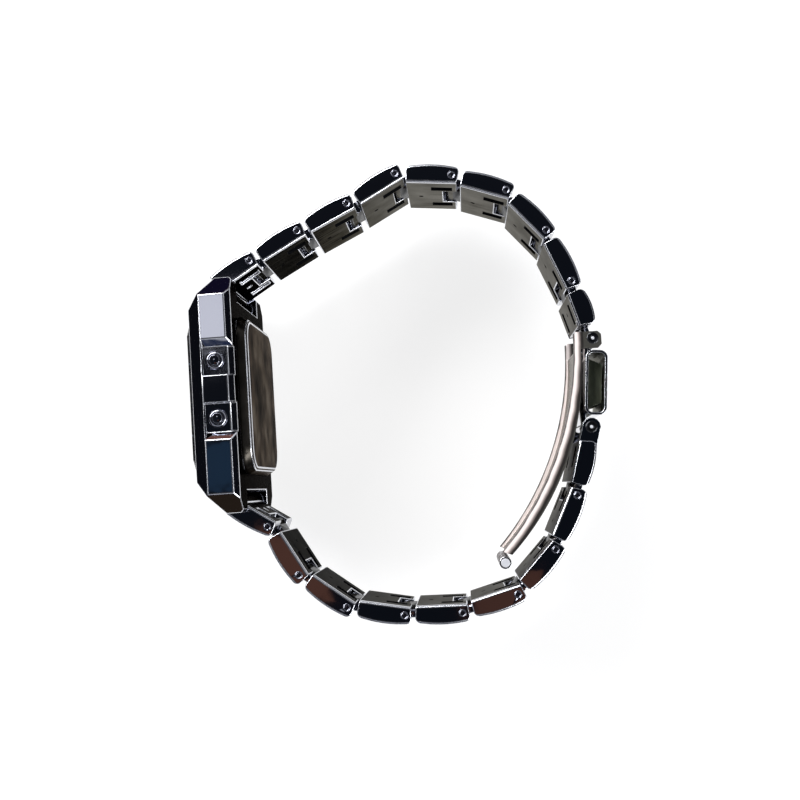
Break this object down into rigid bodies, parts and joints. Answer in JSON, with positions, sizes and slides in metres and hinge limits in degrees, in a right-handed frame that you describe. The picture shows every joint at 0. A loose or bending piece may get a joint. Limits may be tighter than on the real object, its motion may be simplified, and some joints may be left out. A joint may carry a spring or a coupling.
{
  "type": "digital watch",
  "caption": "Chromed digital watch with four side buttons, a folded-link bracelet closed in a loop and a folding clasp, lying on the side of its case.",
  "frame": {"origin": "centre of the middle block of the 9 o'clock flank of the case, which the watch lies on", "axes": "+Z points to 3 o'clock, up as it lies; +Y to 12 o'clock; the dial faces -X"},
  "size_m": [0.075, 0.0832, 0.035],
  "materials": {
    "polished_chrome": "polished chrome plating on the case and links",
    "clasp_chrome": "polished pressed sheet",
    "brushed_back": "lengthwise brushed stainless steel",
    "pusher_steel": "turned stainless steel",
    "steel_pins": "drawn steel wire",
    "front_crystal": "clear mineral glass",
    "dial_print": "printed dark plate",
    "display": "grey-green liquid crystal panel",
    "module_plastic": "black moulded plastic",
    "board": "solder resist on glass fibre",
    "battery_steel": "pressed steel can",
    "contact_metal": "bare brass leaf",
    "seal_rubber": "moulded rubber ring"
  },
  "bodies": {
    "case": {"case_body": "polished_chrome", "front_glass": "front_crystal", "dial_mask": "dial_print", "lcd_panel": "display", "module_frame": "module_plastic", "circuit_board": "board", "battery": "battery_steel", "battery_strap": "battery_steel", "contact_leaves": "contact_metal", "case_back": "brushed_back", "back_gasket": "seal_rubber", "pusher_sleeves": "pusher_steel", "pusher_gaskets": "seal_rubber", "spring_bar_upper": "steel_pins", "spring_bar_lower": "steel_pins"},
    "button_2_oclock": {"pusher_2_oclock": "pusher_steel"},
    "button_4_oclock": {"pusher_4_oclock": "pusher_steel"},
    "button_10_oclock": {"pusher_10_oclock": "pusher_steel"},
    "button_8_oclock": {"pusher_8_oclock": "pusher_steel"},
    "upper_1": {"upper_link_1": "polished_chrome", "upper_pin_1": "steel_pins"},
    "upper_2": {"upper_link_2": "polished_chrome", "upper_pin_2": "steel_pins"},
    "upper_3": {"upper_link_3": "polished_chrome", "upper_pin_3": "steel_pins"},
    "upper_4": {"upper_link_4": "polished_chrome", "upper_pin_4": "steel_pins"},
    "upper_5": {"upper_link_5": "polished_chrome", "upper_pin_5": "steel_pins"},
    "upper_6": {"upper_link_6": "polished_chrome", "upper_pin_6": "steel_pins"},
    "upper_7": {"upper_link_7": "polished_chrome", "upper_pin_7": "steel_pins"},
    "upper_8": {"upper_link_8": "polished_chrome", "upper_pin_8": "steel_pins"},
    "upper_9": {"upper_link_9": "polished_chrome"},
    "lower_1": {"lower_link_1": "polished_chrome", "lower_pin_1": "steel_pins"},
    "lower_2": {"lower_link_2": "polished_chrome", "lower_pin_2": "steel_pins"},
    "lower_3": {"lower_link_3": "polished_chrome", "lower_pin_3": "steel_pins"},
    "lower_4": {"lower_link_4": "polished_chrome", "lower_pin_4": "steel_pins"},
    "lower_5": {"lower_link_5": "polished_chrome", "lower_pin_5": "steel_pins"},
    "lower_6": {"lower_link_6": "polished_chrome", "lower_pin_6": "steel_pins"},
    "lower_7": {"lower_link_7": "polished_chrome", "lower_pin_7": "steel_pins"},
    "lower_8": {"lower_link_8": "polished_chrome", "lower_pin_8": "steel_pins"},
    "lower_9": {"lower_link_9": "polished_chrome", "clasp_pin_lower": "steel_pins"},
    "cover": {"clasp_cover": "clasp_chrome", "cover_latch": "brushed_back", "clasp_pin_upper": "steel_pins"},
    "blade": {"clasp_blade": "clasp_chrome", "blade_tube": "clasp_chrome"}
  },
  "joints": [
    {"name": "button_2_oclock_press", "type": "slide", "parent": "case", "child": "button_2_oclock", "axis": [0, 0, -1], "range_m": [0, 0.0006], "stiffness_N_per_m": 1500, "springref_m": -0.0004},
    {"name": "button_4_oclock_press", "type": "slide", "parent": "case", "child": "button_4_oclock", "axis": [0, 0, -1], "range_m": [0, 0.0006], "stiffness_N_per_m": 1500, "springref_m": -0.0004},
    {"name": "button_10_oclock_press", "type": "slide", "parent": "case", "child": "button_10_oclock", "axis": [0, 0, 1], "range_m": [0, 0.0006], "stiffness_N_per_m": 1500, "springref_m": -0.0004},
    {"name": "button_8_oclock_press", "type": "slide", "parent": "case", "child": "button_8_oclock", "axis": [0, 0, 1], "range_m": [0, 0.0006], "stiffness_N_per_m": 1500, "springref_m": -0.0004},
    {"name": "upper_hinge_1", "type": "hinge", "parent": "case", "child": "upper_1", "pos_m": [0.001, 0.0189, 0.0175], "axis": [0, 0, 1], "range_deg": [0, 34]},
    {"name": "upper_hinge_2", "type": "hinge", "parent": "upper_1", "child": "upper_2", "pos_m": [0.00585, 0.02448, 0.0175], "axis": [0, 0, 1], "range_deg": [0, 46]},
    {"name": "upper_hinge_3", "type": "hinge", "parent": "upper_2", "child": "upper_3", "pos_m": [0.01495, 0.02932, 0.0175], "axis": [0, 0, 1], "range_deg": [0, 28]},
    {"name": "upper_hinge_4", "type": "hinge", "parent": "upper_3", "child": "upper_4", "pos_m": [0.02428, 0.03367, 0.0175], "axis": [0, 0, 1], "range_deg": [0, 22]},
    {"name": "upper_hinge_5", "type": "hinge", "parent": "upper_4", "child": "upper_5", "pos_m": [0.03338, 0.03851, 0.0175], "axis": [0, 0, 1], "range_deg": [0, 59]},
    {"name": "upper_hinge_6", "type": "hinge", "parent": "upper_5", "child": "upper_6", "pos_m": [0.04362, 0.03743, 0.0175], "axis": [0, 0, 1], "range_deg": [0, 39]},
    {"name": "upper_hinge_7", "type": "hinge", "parent": "upper_6", "child": "upper_7", "pos_m": [0.0533, 0.03391, 0.0175], "axis": [0, 0, 1], "range_deg": [0, 55]},
    {"name": "upper_hinge_8", "type": "hinge", "parent": "upper_7", "child": "upper_8", "pos_m": [0.05992, 0.02602, 0.0175], "axis": [0, 0, 1], "range_deg": [0, 43]},
    {"name": "upper_hinge_9", "type": "hinge", "parent": "upper_8", "child": "upper_9", "pos_m": [0.06378, 0.01647, 0.0175], "axis": [0, 0, 1], "range_deg": [0, 31]},
    {"name": "lower_hinge_1", "type": "hinge", "parent": "case", "child": "lower_1", "pos_m": [0.001, -0.0189, 0.0175], "axis": [0, 0, 1], "range_deg": [-36, 0]},
    {"name": "lower_hinge_2", "type": "hinge", "parent": "lower_1", "child": "lower_2", "pos_m": [0.0065, -0.02385, 0.0175], "axis": [0, 0, 1], "range_deg": [-7, 0]},
    {"name": "lower_hinge_3", "type": "hinge", "parent": "lower_2", "child": "lower_3", "pos_m": [0.01165, -0.03277, 0.0175], "axis": [0, 0, 1], "range_deg": [-48, 0]},
    {"name": "lower_hinge_4", "type": "hinge", "parent": "lower_3", "child": "lower_4", "pos_m": [0.01988, -0.03897, 0.0175], "axis": [0, 0, 1], "range_deg": [-51, 0]},
    {"name": "lower_hinge_5", "type": "hinge", "parent": "lower_4", "child": "lower_5", "pos_m": [0.02999, -0.04094, 0.0175], "axis": [0, 0, 1], "range_deg": [-35, 0]},
    {"name": "lower_hinge_6", "type": "hinge", "parent": "lower_5", "child": "lower_6", "pos_m": [0.04028, -0.04112, 0.0175], "axis": [0, 0, 1], "range_deg": [-41, 0]},
    {"name": "lower_hinge_7", "type": "hinge", "parent": "lower_6", "child": "lower_7", "pos_m": [0.05023, -0.03845, 0.0175], "axis": [0, 0, 1], "range_deg": [-56, 0]},
    {"name": "lower_hinge_8", "type": "hinge", "parent": "lower_7", "child": "lower_8", "pos_m": [0.05739, -0.03104, 0.0175], "axis": [0, 0, 1], "range_deg": [-43, 0]},
    {"name": "lower_hinge_9", "type": "hinge", "parent": "lower_8", "child": "lower_9", "pos_m": [0.0619, -0.02178, 0.0175], "axis": [0, 0, 1], "range_deg": [-35, 0]},
    {"name": "cover_hinge", "type": "hinge", "parent": "lower_9", "child": "cover", "pos_m": [0.06532, -0.00986, 0.0175], "axis": [0, 0, 1], "range_deg": [-90, 0]},
    {"name": "blade_hinge", "type": "hinge", "parent": "cover", "child": "blade", "pos_m": [0.06678, 0.00599, 0.0175], "axis": [0, 0, 1], "range_deg": [-75, 0]}
  ]
}
